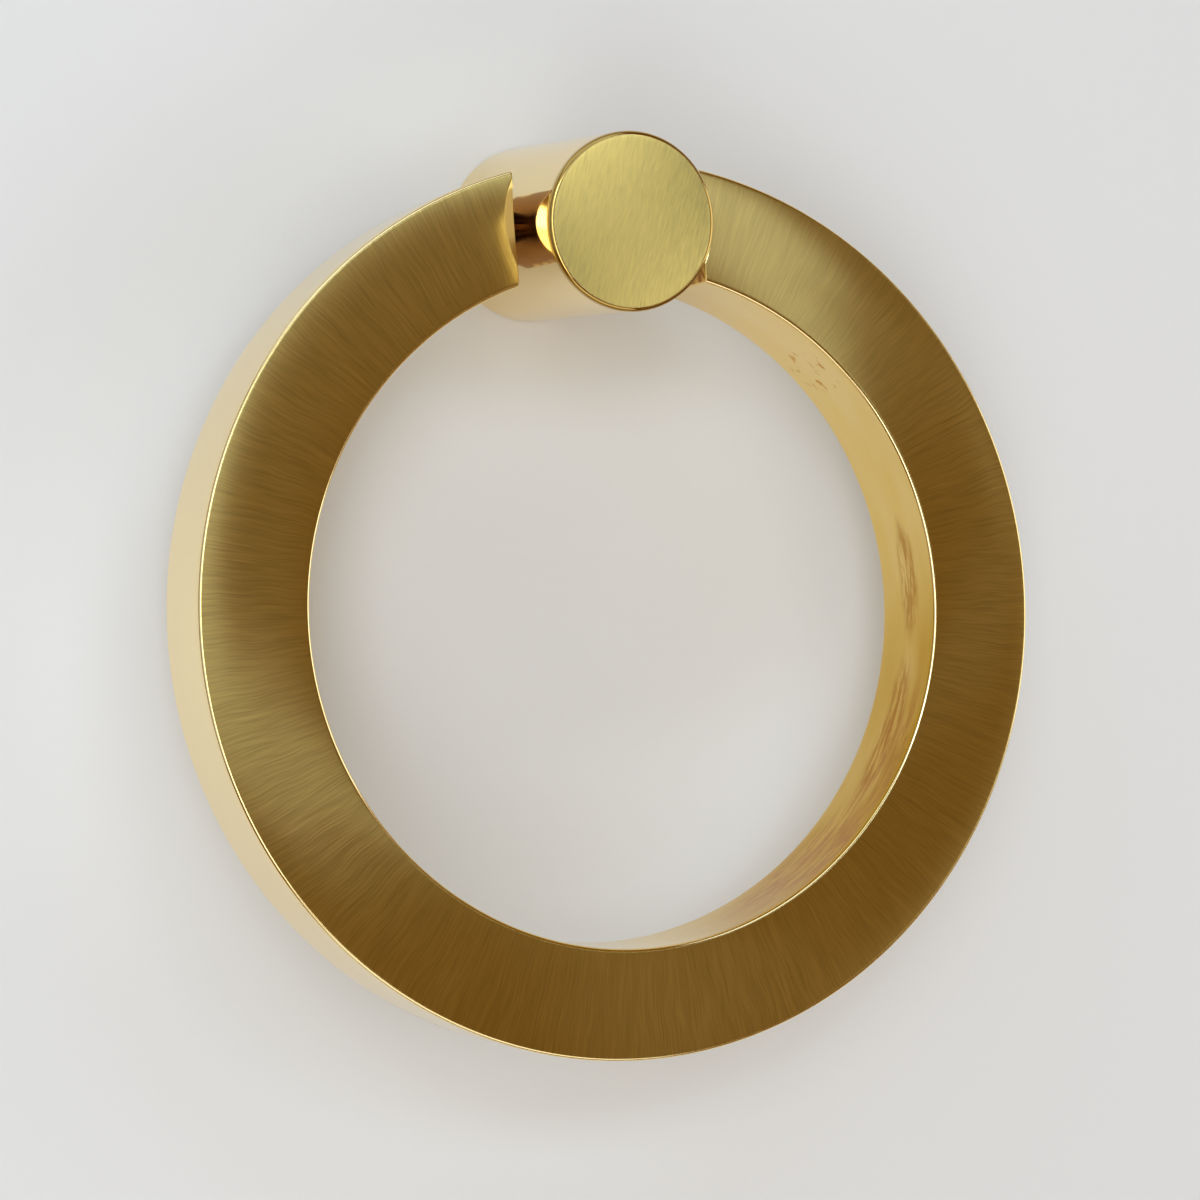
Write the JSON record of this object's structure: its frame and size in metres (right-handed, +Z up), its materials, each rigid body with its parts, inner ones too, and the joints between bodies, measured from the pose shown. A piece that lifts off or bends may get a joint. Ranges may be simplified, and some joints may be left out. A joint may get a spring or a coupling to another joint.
{
  "type": "ring pull handle",
  "caption": "Solid brass ring pull for a drawer or cabinet door: a square-section split ring swings on a hidden pin through a plain round post that screws on from behind.",
  "frame": {"origin": "centre of the post's flat mounting face, on the post's axis", "axes": "+Y out of the mounting face into the drawer front, -Y towards the user, +Z up, +X to the user's right; the ring hangs below the post"},
  "size_m": [0.0762, 0.0237, 0.0788],
  "materials": {
    "post_brass": "polished wall, satin front face with near-vertical grain",
    "ring_brass": "brushed satin front face, polished inner and outer walls",
    "pin_brass": "drawn, bright"
  },
  "bodies": {
    "post_body": {"post": "post_brass"},
    "ring_body": {"ring": "ring_brass", "pivot_pin": "pin_brass"}
  },
  "joints": [
    {"name": "ring_swing", "type": "hinge", "parent": "post_body", "child": "ring_body", "pos_m": [0, -0.0134, 0], "axis": [-1, 0, 0], "range_deg": [-11, 182]}
  ]
}
